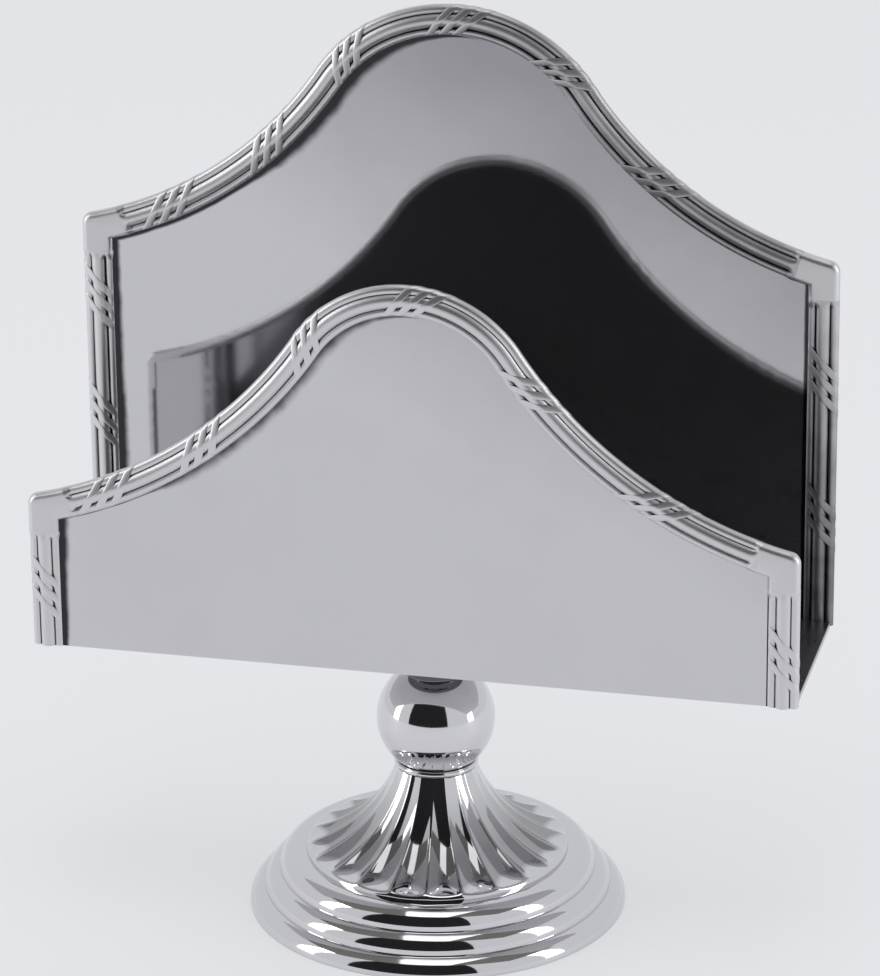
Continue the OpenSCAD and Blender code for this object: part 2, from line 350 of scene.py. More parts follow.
class Ogee:
    """The right half of a plate's top edge, over the border."""

    # Points along the crown's half and the scoop, close enough to bend a wire smoothly
    CROWN_STEPS, SCOOP_STEPS = 90, 110

    def __init__(self, tray, side, peak, crown):
        self.crown, self.crown_centre = crown, Vector((0, peak - crown))
        lean = Vector((math.sin(tray.end_rise), math.cos(tray.end_rise)))
        end = Vector((tray.half_width, side))
        reach = end - self.crown_centre
        self.side = side
        self.scoop = (reach.length_squared - crown**2) / (2 * (crown - reach.dot(lean)))
        self.scoop_centre = end + self.scoop * lean
        way = self.scoop_centre - self.crown_centre
        self.meet = math.atan2(way.y, way.x)
        self.end = 1.5 * math.pi - tray.end_rise

    def arm(self, run):
        """Angle, seen from the scoop's centre, a given run along the edge from its end."""
        return self.end - run / self.scoop

    def half_length(self, run):
        """Length of the edge from the peak to a given run from its end."""
        return (math.pi / 2 - self.meet) * self.crown + (self.arm(run) - math.pi - self.meet) * self.scoop

    def path(self, run):
        """Points from a given run from the left end, over the crown, to the same run from the right end."""
        right = arc(self.crown_centre, self.crown, math.pi / 2, self.meet, self.CROWN_STEPS)
        scoop = arc(self.scoop_centre, self.scoop, math.pi + self.meet, self.arm(run), self.SCOOP_STEPS)
        right += scoop[1:]
        return [Vector((-p.x, p.y)) for p in reversed(right[1:])] + right


def plates(sizes):
    """The two plates: name, outline and the depth of the middle plane."""
    tray, arm = sizes.tray, sizes.border.corner_arm
    crowns = ("front", tray.front_peak, tray.front_crown), ("back", tray.back_peak, tray.back_crown)
    for name, peak, crown in crowns:
        side = high(name + "_left_stile").z - tray.floor_height + arm
        depth = (low(name + "_plate").y + high(name + "_plate").y) / 2
        yield name, Ogee(tray, side, peak, crown), depth


def stand_up(sizes, depth):
    """From the bench, where the front faces up, to upright on the tray at a plate's depth."""
    return Matrix.Translation((0, depth, sizes.tray.floor_height)) @ Matrix.Rotation(math.pi / 2, 4, "X")


# The border

def border_width(border):
    """Width of the wire, from its outer edge to its inner one."""
    return border.outer_reed + border.outer_step + border.inner_step + border.inner_reed


def reed_places(border):
    """How far inwards from the outer edge the middles of the three reeds lie."""
    middle_at = border.outer_reed + border.outer_step
    return border.outer_reed, middle_at, middle_at + border.inner_step


def reed_grooves(border):
    """Bottoms of the two grooves between the reeds: inwards from the outer edge, and up to the front."""
    outer_at, middle_at, inner_at = reed_places(border)

    def groove(near, near_r, far, far_r):
        along = ((far - near) ** 2 + near_r**2 - far_r**2) / (2 * (far - near))
        return Vector((near + along, math.sqrt(near_r**2 - along**2) - border.groove))

    outer_groove = groove(outer_at, border.outer_reed, middle_at, border.middle_reed)
    return outer_groove, groove(middle_at, border.middle_reed, inner_at, border.inner_reed)


def reed_section(border):
    """Outline of the wire across its length: inwards from the outer edge, and up to the front."""
    outer_at, middle_at, inner_at = reed_places(border)
    outer_groove, inner_groove = reed_grooves(border)
    # Each reed's round ends this far short of the groove's bottom, which is chased deeper
    shy = math.radians(13)

    def reed(at, radius, start, stop, steps):
        """Front of a reed between two ends, each an angle or a groove's bottom with a turn past it."""
        ends = []
        for end, turn in (start, stop):
            ends.append(math.atan2(end.y, end.x - at) + turn if isinstance(end, Vector) else end)
        return arc(Vector((at, 0)), radius, *ends, steps)

    lip = math.asin(border.rebate / border.inner_reed)
    heel = TURN - math.acos((border.edge_cover - outer_at) / border.outer_reed)
    points = reed(inner_at, border.inner_reed, (lip, 0), (inner_groove, -shy), 8)
    points.append(inner_groove)
    points += reed(middle_at, border.middle_reed, (inner_groove, shy), (outer_groove, -shy), 11)
    points.append(outer_groove)
    points += reed(outer_at, border.outer_reed, (outer_groove, shy), (heel, 0), 17)
    points.append(Vector((border.edge_cover, border.rebate)))
    return points


def plain_section(border):
    """The same outline without reeds: flat in front with round edges, as the corner pieces have it."""
    reeded, width, soft = reed_section(border), border_width(border), border.corner_round
    face = border.corner_thickness - border.outer_reed
    points = []
    for point in reeded[:-1]:
        if point.y > 0:
            across = point.x * width / reeded[0].x
            inside = min(across, width - across, soft)
            height = face - soft + math.sqrt(max(0, soft**2 - (soft - inside) ** 2))
            point = Vector((across, max(border.rebate, height)))
        points.append(point)
    return [*points, reeded[-1]]


def wire_end(border):
    """The end of a wire on the bench, where the reeds grow out of the plain section."""
    piece = begin("wire_end")
    width, steps = border_width(border), 12
    for i in range(steps + 1):
        along = border.end_run * i / steps
        loop = []
        for flat, reeded in zip(plain_section(border), reed_section(border)):
            # The reeds start along a slant, the outer one first
            gone = (along - border.end_slant * reeded.x / width) / (border.end_run - border.end_slant)
            gone = min(1, max(0, gone))
            point = flat.lerp(reeded, gone * gone * (3 - 2 * gone))
            loop.append(Vector((along, -point.x, point.y)))
        draw_loop(loop)
    bpy.ops.mesh.select_all(action="SELECT")
    merge()
    bpy.ops.mesh.bridge_edge_loops(type="SINGLE")
    bpy.ops.object.mode_set(mode="OBJECT")
    return piece


def ribbon_loops(border):
    """Closed sections of one ribbon, from the inner reed over the outer edge to the back."""
    outer, middle, inner = border.outer_reed, border.middle_reed, border.inner_reed
    _, middle_at, inner_at = reed_places(border)
    # Angles at which the ribbon, pulled tight, starts on the inner reed and leaves one reed for the next
    root = math.radians(48)
    first = math.acos((middle - inner) / border.inner_step)
    second = math.pi - math.acos((middle - outer) / border.outer_step)
    heel = TURN - math.acos((border.edge_cover - outer) / outer)
    over = []
    for at, radius, start, stop, steps in (
        (inner_at, inner, root, first, 3),
        (middle_at, middle, first, second, 6),
        (outer, outer, second, heel, 14),
    ):
        centre = Vector((at, 0))
        over += [(point, (point - centre).normalized()) for point in arc(centre, radius, start, stop, steps)]
    run = [0]
    for (here, _), (there, _) in zip(over, over[1:]):
        run.append(run[-1] + (there - here).length)
    edge = next(gone for (point, _), gone in zip(over, run) if point.y <= 0)
    # Places across the ribbon, from edge to edge, and how far each stands proud
    crown = [(-0.5, 0.1), (-0.4, 0.66), (-0.2, 0.94), (0, 1), (0.2, 0.94), (0.4, 0.66), (0.5, 0.1)]
    base = [(0.5, -1.2), (-0.5, -1.2)]
    loops = []
    for (point, normal), gone in zip(over, run):
        along = border.ribbon_lean * (gone / edge - 0.5)
        loop = []
        for across, lift in crown + base:
            at = point + normal * lift * border.ribbon_lift
            loop.append(Vector((along + across * border.ribbon_width, -at.x, at.y)))
        loops.append(loop)
    return loops


def ribbon_tie(border):
    """The ribbons of one tie, on the bench, with the tie's middle at zero."""
    piece = begin("ribbon_tie")
    for loop in ribbon_loops(border):
        draw_loop(loop)
    bpy.ops.mesh.select_all(action="SELECT")
    merge()
    bpy.ops.mesh.bridge_edge_loops(type="SINGLE")
    bpy.ops.mesh.select_all(action="SELECT")
    bpy.ops.mesh.fill_holes(sides=0)
    bpy.ops.mesh.select_all(action="SELECT")
    back = -(border.ribbon_count - 1) / 2 * border.ribbon_pitch
    bpy.ops.transform.translate(value=(back, 0, 0))
    for _ in range(border.ribbon_count - 1):
        bpy.ops.mesh.duplicate_move(TRANSFORM_OT_translate={"value": (border.ribbon_pitch, 0, 0)})
    bpy.ops.object.mode_set(mode="OBJECT")
    return piece


def add_copy(piece, part, matrix):
    """Joins a copy of a part into a piece."""
    only(part)
    bpy.ops.object.duplicate()
    place(bpy.context.object, matrix)
    piece.select_set(True)
    bpy.context.view_layer.objects.active = piece
    bpy.ops.object.join()


def reeded_wire(name, border, parts, run, ties, plain_ends):
    """A straight reeded wire on the bench, with ribbons tied round it and plain ends where wanted."""
    end, tie = parts
    facet = 0.5 * MM
    piece = begin(name)
    start = border.end_run if plain_ends[0] else 0
    body = run - start - (border.end_run if plain_ends[1] else 0)
    count = round(body / facet)
    draw_loop([Vector((start, -p.x, p.y)) for p in reed_section(border)])
    bpy.ops.mesh.select_all(action="SELECT")
    merge()
    bpy.ops.mesh.extrude_edges_move(TRANSFORM_OT_translate={"value": (body / count, 0, 0)})
    bpy.ops.object.mode_set(mode="OBJECT")
    apply(
        piece, "ARRAY", count=count, use_relative_offset=False, use_constant_offset=True,
        constant_offset_displace=(body / count, 0, 0), use_merge_vertices=True, merge_threshold=TINY,
    )
    far = Matrix.Translation((run, 0, 0)) @ Matrix.Scale(-1, 4, (1, 0, 0))
    for wanted, matrix in zip(plain_ends, (Matrix(), far)):
        if wanted:
            add_copy(piece, end, matrix)
    bpy.ops.object.mode_set(mode="EDIT")
    bpy.ops.mesh.select_all(action="SELECT")
    merge()
    bpy.ops.mesh.fill_holes(sides=0)
    bpy.ops.object.mode_set(mode="OBJECT")
    for at in ties:
        add_copy(piece, tie, Matrix.Translation((at, 0, 0)))
    bpy.ops.object.mode_set(mode="EDIT")
    close(piece, CRISP)
    return piece


def remove(*pieces):
    """Clears away what was only needed on the bench."""
    for piece in pieces:
        only(piece)
        bpy.ops.object.delete()


def bend(piece, path):
    """Bends a straight piece along a flat path, on the bench."""
    line = begin("bending_line")
    draw([p.to_3d() for p in path])
    bpy.ops.object.mode_set(mode="OBJECT")
    bpy.ops.object.convert(target="CURVE")
    line.data.dimensions = "2D"
    apply(piece, "CURVE", object=line, deform_axis="POS_X")
    remove(line)


def block(name, outline, bottom, top):
    """A flat outline raised from one height to another, in edit mode."""
    piece = begin(name)
    draw_loop([Vector((p.x, p.y, bottom)) for p in outline])
    bpy.ops.mesh.select_all(action="SELECT")
    merge()
    bpy.ops.mesh.edge_face_add()
    bpy.ops.mesh.extrude_region_move(TRANSFORM_OT_translate={"value": (0, 0, top - bottom)})
    return piece


def corner_piece(name, sizes, ogee):
    """The right-hand corner piece of a plate, on the bench."""
    border, half = sizes.border, sizes.tray.half_width
    width = border_width(border)
    centre, scoop = ogee.scoop_centre, ogee.scoop

    def reaches(inset):
        """Angle at which the scoop, drawn inset, meets the side that is inset as far."""
        return TURN - math.acos((half - inset - centre.x) / (scoop + inset))

    arm, foot_of_arm = ogee.arm(border.corner_arm), ogee.side - border.corner_arm
    turn = border.corner_turn
    outline = [Vector((half, foot_of_arm))]
    outline += arc(centre + (scoop + turn) * unit(reaches(turn)), turn, 0, reaches(turn) - math.pi, 8)
    outline += arc(centre, scoop, reaches(turn), arm, 10)[1:]
    outline += arc(centre, scoop + width, arm, reaches(width), 6)
    outline.append(Vector((half - width, foot_of_arm)))
    piece = block(name, outline, -border.outer_reed, border.corner_thickness - border.outer_reed)

    def at_an_end(point):
        """Whether a point lies where a wire joins on."""
        side = (point.xy - centre).cross(unit(arm))
        return abs(side) < TINY or abs(point.y - foot_of_arm) < TINY

    bpy.ops.mesh.select_mode(type="EDGE")
    bpy.ops.mesh.select_all(action="DESELECT")
    mesh = bmesh.from_edit_mesh(piece.data)
    for edge in mesh.edges:
        here, there = (vertex.co for vertex in edge.verts)
        if abs(here.z - there.z) < TINY and not (at_an_end(here) and at_an_end(there)):
            edge.select_set(True)
    bmesh.update_edit_mesh(piece.data)
    bpy.ops.mesh.bevel(offset=border.corner_round, segments=7, affect="EDGES")
    bpy.ops.mesh.select_mode(type="VERT")
    close(piece, CRISP)

    inset = border.edge_cover
    sheet = [Vector((half - inset, foot_of_arm - width))]
    sheet += arc(centre, scoop + inset, reaches(inset), ogee.arm(2 * border.corner_arm), 16)
    sheet.append(Vector((sheet[-1].x, foot_of_arm - width)))
    cutter = block("corner_rebate", sheet, -border.corner_thickness, border.rebate)
    close(cutter, CRISP)
    apply(piece, "BOOLEAN", object=cutter, operation="DIFFERENCE", solver="EXACT")
    remove(cutter)
    smooth_over(piece, CRISP)
    return piece


# Materials

def feed(made, inputs):
    """Sets inputs of a node: to a number, a colour, an output, or the first output that a node offers."""
    for key, value in inputs.items():
        if isinstance(value, bpy.types.Node):
            value = next(output for output in value.outputs if output.enabled)
        if isinstance(value, bpy.types.NodeSocket):
            made.id_data.links.new(value, made.inputs[key])
        else:
            made.inputs[key].default_value = value


def node(tree, kind, inputs=None, **settings):
    """Adds one shader node with its settings and links."""
    made = tree.nodes.new("ShaderNode" + kind)
    for key, value in settings.items():
        setattr(made, key, value)
    feed(made, inputs or {})
    return made


def begin_metal(name):
    """A new metal: what adds nodes to it, the place on the piece, and its shader."""
    material = bpy.data.materials.new(name)
    material.use_nodes = True
    add = partial(node, material.node_tree)
    shader = material.node_tree.nodes["Principled BSDF"]
    feed(shader, {"Metallic": 1})
    return add, add("TexCoord").outputs["Object"], shader


def per(size):
    """Scale of a pattern whose features have a given size."""
    return 1 / size


class NapkinFinishes(bpy.types.Operator):
    """Mix the finishes: buffed and dull sheet, struck border and corners, turned silver and steel"""

    bl_idname = "napkin.finishes"
    bl_label = "Finishes"

    def execute(self, context):
        sizes = context.scene.napkin_holder
        colours = sizes.finish
        silver, tarnish_and_shade, steel = ((*c, 1) for c in (colours.silver, colours.tarnish_and_shade, colours.steel))
        self.dull_floor((*colours.underside, 1), (*colours.dull_sheet, 1))
        for name, ogee, depth in plates(sizes):
            metal, tint = self.buffed_sheet(f"{SHEET}, {name}", colours)
            self.seam(metal, tint, tarnish_and_shade, sizes, ogee, depth, SEAMS[name])
        self.struck_border(BORDER, silver, tarnish_and_shade, sizes, 1)
        self.struck_border(CORNER, silver, tarnish_and_shade, sizes, 0)
        self.turned_silver(silver, tarnish_and_shade)
        self.bright_steel(steel)
        return {"FINISHED"}

    def buffed_sheet(self, name, colours):
        # Silver plate on rolled sheet, buffed by hand: a soft mirror with faint clouds of tarnish, hairlines
        # from polishing cloths and a slight swell that makes straight reflections waver
        metal = begin_metal(name)
        add, where, shader = metal
        clouds = add("TexNoise", {"Vector": where, "Scale": per(28 * MM), "Detail": 5, "Roughness": 0.6})
        # Painted shade, for darker reflected surroundings: the sheet darkens towards the top and the right
        shade_slope = add("VectorMath", {0: where, 1: (0.55, 0, 1)}, operation="DOT_PRODUCT")
        painted_shade = add(
            "MapRange",
            {"Value": shade_slope, "From Min": 105 * MM, "From Max": 168 * MM, "To Min": -0.2, "To Max": 0.8},
        )
        spread = add("Math", {0: clouds, 1: 0.4, 2: painted_shade}, operation="MULTIPLY_ADD")
        tint = add("Mix", {0: spread, 6: (*colours.sheet, 1), 7: (*colours.dull_sheet, 1)}, data_type="RGBA")
        gloss = add(
            "MapRange", {"Value": clouds, "From Min": 0.3, "From Max": 0.7, "To Min": 0.04, "To Max": 0.07}
        )
        # Hairlines are some hundredths of a millimetre wide, and drawn at 0.3 mm so that they show at all
        spacing = per(22 * MM), per(5 * MM), per(0.3 * MM)
        drawn = add("Mapping", {"Vector": where, "Rotation": (0, math.radians(17), 0), "Scale": spacing})
        hairlines = add("TexNoise", {"Vector": drawn, "Scale": 1, "Detail": 2})
        swell = add("TexNoise", {"Vector": where, "Scale": per(45 * MM), "Detail": 1})
        wavy = add("Bump", {"Strength": 0.12, "Distance": 0.35 * MM, "Height": swell})
        scratched = add(
            "Bump", {"Strength": 0.05, "Distance": 0.02 * MM, "Height": hairlines, "Normal": wavy}
        )
        # The film of tarnish scatters a little light, so that the deepest reflections stay grey
        feed(shader, {"Metallic": 0.98, "Roughness": gloss, "Normal": scratched})
        return metal, tint

    def dull_floor(self, underside, inside):
        # Silver plate that is never polished, a blurred mirror: pale under the tray, and dark with tarnish
        # inside it
        add, where, shader = begin_metal(FLOOR)
        height = add("SeparateXYZ", {0: where}).outputs["Z"]
        middle = (low("floor_plate").z + high("floor_plate").z) / 2
        above = add("Math", {0: height, 1: middle}, operation="GREATER_THAN")
        tint = add("Mix", {0: above, 6: underside, 7: inside}, data_type="RGBA")
        patches = add("TexNoise", {"Vector": where, "Scale": per(14 * MM), "Detail": 4})
        gloss = add("MapRange", {"Value": patches, "To Min": 0.18, "To Max": 0.4})
        feed(shader, {"Base Color": tint, "Roughness": gloss})

    def seam(self, metal, tint, tarnish_and_shade, sizes, ogee, depth, painted_shade):
        # Painted shade along the border's inner edge, dark where the border stands over the sheet: it lies
        # thickest in the left shoulder and dies out over the crown
        add, where, shader = metal
        border, half = border_width(sizes.border), sizes.tray.half_width
        parts = add("SeparateXYZ", {0: where}).outputs
        x = parts["X"]
        rise = add("Math", {0: parts["Z"], 1: sizes.tray.floor_height}, operation="SUBTRACT")
        flat = add("CombineXYZ", {"X": x, "Y": rise})
        # Distances from the border's inner edge, under the crown and under the left scoop
        gaps = []
        left_scoop = Vector((-ogee.scoop_centre.x, ogee.scoop_centre.y))
        for centre, radius in ((ogee.crown_centre, ogee.crown - border), (left_scoop, ogee.scoop + border)):
            gap = add("VectorMath", {0: flat, 1: (*centre, 0)}, operation="DISTANCE")
            gap = add("Math", {0: gap, 1: radius}, operation="SUBTRACT")
            gaps.append(add("Math", {0: gap}, operation="ABSOLUTE"))
        crown, scoop = gaps
        # No painted shade lies below the crown's centre, or past the shade's end on its right side
        below = add("Math", {0: rise, 1: ogee.crown_centre.y}, operation="LESS_THAN")
        past = add("Math", {0: x, 1: painted_shade["ends"][1] * MM}, operation="GREATER_THAN")
        elsewhere = add("Math", {0: below, 1: past}, operation="MAXIMUM")
        crown = add("Math", {0: crown, 1: elsewhere}, operation="ADD")
        # The scoop gives way to the crown on the line between their centres
        across = Vector((math.sin(ogee.meet), math.cos(ogee.meet)))
        along = add("VectorMath", {0: flat, 1: (*across, 0)}, operation="DOT_PRODUCT")
        in_scoop = add("Math", {0: along, 1: across.dot(ogee.crown_centre)}, operation="LESS_THAN")
        top = add("Mix", {0: in_scoop, 2: crown, 3: scoop})
        # Widths of the painted shade: along the top border from left to right, and up the left border
        bare, flat_width, shoulder = MM / 50, painted_shade["flat"] * MM, painted_shade["shoulder"] * MM
        widths = []
        for (start, stop), first, last in (
            (painted_shade["begins"], flat_width, shoulder), (painted_shade["ends"], shoulder, bare)
        ):
            run = {"Value": x, "From Min": start * MM, "From Max": stop * MM, "To Min": first, "To Max": last}
            widths.append(add("MapRange", run, interpolation_type="SMOOTHSTEP"))
        width = add("Math", dict(enumerate(widths)), operation="MINIMUM")
        foot, head = (size * MM for size in painted_shade["left"])
        left_width = add("MapRange", {"Value": rise, "From Max": ogee.side, "To Min": foot, "To Max": head})
        # How near each place is to a border, measured in widths of the painted shade
        over = add("Math", {0: top, 1: width}, operation="DIVIDE")
        over = add("Math", {0: over, 1: painted_shade["thinner"]}, operation="ADD")
        left = add("Math", {0: x, 1: half - border}, operation="ADD")
        left = add("Math", {0: left, 1: left_width}, operation="DIVIDE")
        right = add("Math", {0: half - border, 1: x}, operation="SUBTRACT")
        right = add("Math", {0: right, 1: painted_shade["right"] * MM}, operation="DIVIDE")
        near = add("Math", {0: left, 1: right}, operation="MINIMUM")
        near = add("Math", {0: over, 1: near}, operation="MINIMUM")
        # The backs of the plates carry no painted shade
        at_back = add("Math", {0: parts["Y"], 1: depth}, operation="GREATER_THAN")
        near = add("Math", {0: at_back, 1: 10, 2: near}, operation="MULTIPLY_ADD")
        ragged = add("TexNoise", {"Vector": where, "Scale": per(4 * MM), "Detail": 3})
        near = add("Math", {0: ragged, 1: 0.5, 2: near}, operation="MULTIPLY_ADD")
        bright_share = add(
            "MapRange", {"Value": near, "From Min": 0.7, "From Max": 1.5}, interpolation_type="SMOOTHSTEP"
        )
        # The tarnish colour painted in along the border's inner edge as shade
        seam_shaded = add("Mix", {0: bright_share, 6: tarnish_and_shade, 7: tint}, data_type="RGBA")
        feed(shader, {"Base Color": seam_shaded})

    def struck_border(self, name, silver, tarnish_and_shade, sizes, shade_strength):
        # Silver plate on wire struck in a die: bright on the reeds where cloths reach, grey to black with
        # sulphide down in the grooves and beside the ribbons, and with painted shade on the far right
        add, where, shader = begin_metal(name)
        parts = add("SeparateXYZ", {0: where}).outputs
        hollow = add("AmbientOcclusion", {"Distance": 1.5 * MM}, samples=12, only_local=True).outputs["AO"]
        patches = add("TexNoise", {"Vector": where, "Scale": per(6 * MM), "Detail": 4})
        uneven = add("Math", {0: patches, 1: 0.22, 2: hollow}, operation="MULTIPLY_ADD")
        # Painted shade, growing towards the far right, deepest on the lower part of the far right end
        far_right = add("VectorMath", {0: where, 1: (1, 1, 1)}, operation="DOT_PRODUCT")
        shade_slope = add(
            "MapRange",
            {"Value": far_right, "From Min": 130 * MM, "From Max": 200 * MM, "To Max": 0.42 * shade_strength},
        )
        inner_edge = sizes.tray.half_width - border_width(sizes.border)
        at_right = add("Math", {0: parts["X"], 1: inner_edge}, operation="GREATER_THAN")
        behind = add("Math", {0: parts["Y"], 1: 0}, operation="GREATER_THAN")
        far_end = add("Math", {0: at_right, 1: behind}, operation="MULTIPLY")
        lower = add(
            "MapRange",
            {"Value": parts["Z"], "From Min": 60 * MM, "From Max": 118 * MM,
             "To Min": 0.62 * shade_strength, "To Max": 0.38 * shade_strength},
        )
        painted_far_shade = add("Mix", {0: far_end, 2: shade_slope, 3: lower})
        polished_and_lit = add("Math", {0: uneven, 1: painted_far_shade}, operation="SUBTRACT")
        # Painted shade, black, in the inner groove of the far left end
        inner_groove = reed_grooves(sizes.border)[1].x - sizes.tray.half_width
        away = add("Math", {0: parts["X"], 1: inner_groove}, operation="SUBTRACT")
        away = add("Math", {0: away}, operation="ABSOLUTE")
        groove_shade = add(
            "MapRange",
            {"Value": away, "From Min": 0.25 * MM, "From Max": 0.6 * MM,
             "To Min": 0.38 * shade_strength, "To Max": 0},
        )
        groove_shade = add("Math", {0: groove_shade, 1: behind}, operation="MULTIPLY")
        polished_and_lit = add("Math", {0: polished_and_lit, 1: groove_shade}, operation="SUBTRACT")
        # The backs of both borders, past the plates' middle planes, are plain and wiped clean, with no
        # painted shade
        front, back = (depth for _, _, depth in plates(sizes))
        past = add("Math", {0: parts["Y"], 1: front}, operation="SUBTRACT")
        past = add("Math", {0: past, 1: back - front}, operation="FLOORED_MODULO")
        clean_and_lit = add("Math", {0: past, 1: (back - front) / 2}, operation="LESS_THAN")
        polished_and_lit = add("Math", {0: polished_and_lit, 1: clean_and_lit}, operation="ADD")
        bright_share = add(
            "MapRange", {"Value": polished_and_lit, "From Min": 0.3, "From Max": 0.88}, interpolation_type="SMOOTHSTEP"
        )
        tint = add("Mix", {0: bright_share, 6: tarnish_and_shade, 7: silver}, data_type="RGBA")
        gloss = add("MapRange", {"Value": bright_share, "To Min": 0.5, "To Max": 0.4})
        # Dents of handling, about 1.5 mm across
        dents = add("TexNoise", {"Vector": where, "Scale": per(1.5 * MM), "Detail": 2})
        worn = add("Bump", {"Strength": 0.12, "Distance": 0.06 * MM, "Height": dents})
        feed(shader, {"Base Color": tint, "Roughness": gloss, "Normal": worn})

    def turned_silver(self, silver, tarnish_and_shade):
        # Silver plate on turned and spun brass, polished on the lathe: a clear mirror with a trace of the
        # lathe's rings, and a dark line where steps and flutes meet
        add, where, shader = begin_metal(TURNED)
        hollow = add("AmbientOcclusion", {"Distance": 2.4 * MM}, samples=12).outputs["AO"]
        bright_share = add(
            "MapRange", {"Value": hollow, "From Min": 0.2, "From Max": 0.6}, interpolation_type="SMOOTHSTEP"
        )
        # Painted shade on the neck, over the ball and under the tray, and a painted reflection of the tray's
        # underside, darkest low in the flutes, down to the lip of the stem's rim: how bright each is, from
        # one height to another
        height = add("SeparateXYZ", {0: where}).outputs["Z"]
        ball_top, stem = low("neck_collar").z, low("fluted_stem").z
        bands = []
        for start, stop, first, last in (
            (ball_top - 0.1 * MM, ball_top + 0.1 * MM, 1, 0.12),
            (stem + 1.4 * MM, stem + 2.4 * MM, 1, 0),
            (stem + 5 * MM, stem + 14 * MM, 0.55, 1),
        ):
            band = {"Value": height, "From Min": start, "From Max": stop, "To Min": first, "To Max": last}
            bands.append(add("MapRange", band))
        neck, lip, flutes = bands
        stem_lit = add("Math", {0: lip, 1: flutes}, operation="MAXIMUM")
        clean_and_lit = add("Math", {0: bright_share, 1: neck}, operation="MULTIPLY")
        clean_and_lit = add("Math", {0: clean_and_lit, 1: stem_lit}, operation="MULTIPLY")
        tint = add("Mix", {0: clean_and_lit, 6: tarnish_and_shade, 7: silver}, data_type="RGBA")
        smudges = add("TexNoise", {"Vector": where, "Scale": per(9 * MM), "Detail": 4})
        gloss = add(
            "MapRange", {"Value": smudges, "From Min": 0.3, "From Max": 0.7, "To Min": 0.035, "To Max": 0.085}
        )
        # Lathe rings are finer than a hair, and drawn 0.4 mm apart so that they show at all
        outwards = add("VectorMath", {0: where, 1: (1, 1, 0)}, operation="MULTIPLY")
        radius = add("VectorMath", {0: outwards}, operation="LENGTH")
        rings = add("TexNoise", {"W": radius, "Scale": per(0.4 * MM), "Detail": 1}, noise_dimensions="1D")
        lathed = add("Bump", {"Strength": 0.03, "Distance": 0.02 * MM, "Height": rings})
        feed(shader, {"Base Color": tint, "Roughness": gloss, "Normal": lathed})

    def bright_steel(self, steel):
        # Zinc-bright steel from the bar: a grey satin with drawn lines along its length
        add, where, shader = begin_metal(STEEL)
        drawn = add("Mapping", {"Vector": where, "Scale": (per(0.25 * MM), per(0.25 * MM), per(6 * MM))})
        lines = add("TexNoise", {"Vector": drawn, "Scale": 1, "Detail": 3})
        gloss = add("MapRange", {"Value": lines, "To Min": 0.24, "To Max": 0.44})
        ridged = add("Bump", {"Strength": 0.15, "Distance": 0.03 * MM, "Height": lines})
        feed(shader, {"Base Color": steel, "Roughness": gloss, "Normal": ridged})


class NapkinSheets(bpy.types.Operator):
    """Finish the plates, the floor and the fasteners, whose CAD shapes stay"""

    bl_idname = "napkin.sheets"
    bl_label = "Sheets and fasteners"

    def execute(self, context):
        for finish, names in (
            (f"{SHEET}, front", ("front_plate",)),
            (f"{SHEET}, back", ("back_plate",)),
            (FLOOR, ("floor_plate",)),
            (STEEL, ("tie_rod", "foot_washer", "foot_nut")),
        ):
            for name in names:
                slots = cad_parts[name].data.materials
                slots.clear()
                slots.append(bpy.data.materials[finish])
        return {"FINISHED"}


class NapkinTopBorders(bpy.types.Operator):
    """Bend a reeded wire with tied ribbons over the top of each plate"""

    bl_idname = "napkin.top_borders"
    bl_label = "Top borders"

    def execute(self, context):
        sizes = context.scene.napkin_holder
        parts = wire_end(sizes.border), ribbon_tie(sizes.border)
        for name, ogee, depth in plates(sizes):
            half = ogee.half_length(sizes.border.corner_arm)
            ties = [half + at * MM for at in TIES[name + "_top"]]
            wire = reeded_wire(name + "_top_border", sizes.border, parts, 2 * half, ties, (True, True))
            bend(wire, ogee.path(sizes.border.corner_arm))
            place(wire, stand_up(sizes, depth))
            dress(wire, BORDER, "border_silver", name + "_top_moulding")
        remove(*parts)
        return {"FINISHED"}


class NapkinSideBorders(bpy.types.Operator):
    """Stand a straight length of the same wire up each end of each plate"""

    bl_idname = "napkin.side_borders"
    bl_label = "Side borders"

    def execute(self, context):
        sizes = context.scene.napkin_holder
        parts = wire_end(sizes.border), ribbon_tie(sizes.border)
        for name, ogee, depth in plates(sizes):
            run = ogee.side - sizes.border.corner_arm
            for side, sign in (("left", -1), ("right", 1)):
                # The wire runs up the left end and down the right one, so that its outer edge stays outside
                ties = [at * MM if sign < 0 else run - at * MM for at in TIES[f"{name}_{side}"]]
                plain_ends = sign > 0, sign < 0
                wire = reeded_wire(f"{name}_{side}_border", sizes.border, parts, run, ties, plain_ends)
                turn = Matrix.Rotation(-sign * math.pi / 2, 4, "Z")
                start = Matrix.Translation((sign * sizes.tray.half_width, run if sign > 0 else 0, 0))
                place(wire, stand_up(sizes, depth) @ start @ turn)
                dress(wire, BORDER, "border_silver", f"{name}_{side}_stile")
        remove(*parts)
        return {"FINISHED"}


class NapkinCorners(bpy.types.Operator):
    """Fit a plain corner piece where the wires meet"""

    bl_idname = "napkin.corners"
    bl_label = "Corners"

    def execute(self, context):
        sizes = context.scene.napkin_holder
        for name, ogee, depth in plates(sizes):
            right = corner_piece(name + "_right_corner_piece", sizes, ogee)
            bpy.ops.object.duplicate()
            left = context.object
            left.name = name + "_left_corner_piece"
            place(left, stand_up(sizes, depth) @ Matrix.Scale(-1, 4, (1, 0, 0)))
            bpy.ops.object.mode_set(mode="EDIT")
            close(left, CRISP)
            place(right, stand_up(sizes, depth))
            dress(right, CORNER, "border_silver", name + "_right_corner")
            dress(left, CORNER, "border_silver", name + "_left_corner")
        return {"FINISHED"}


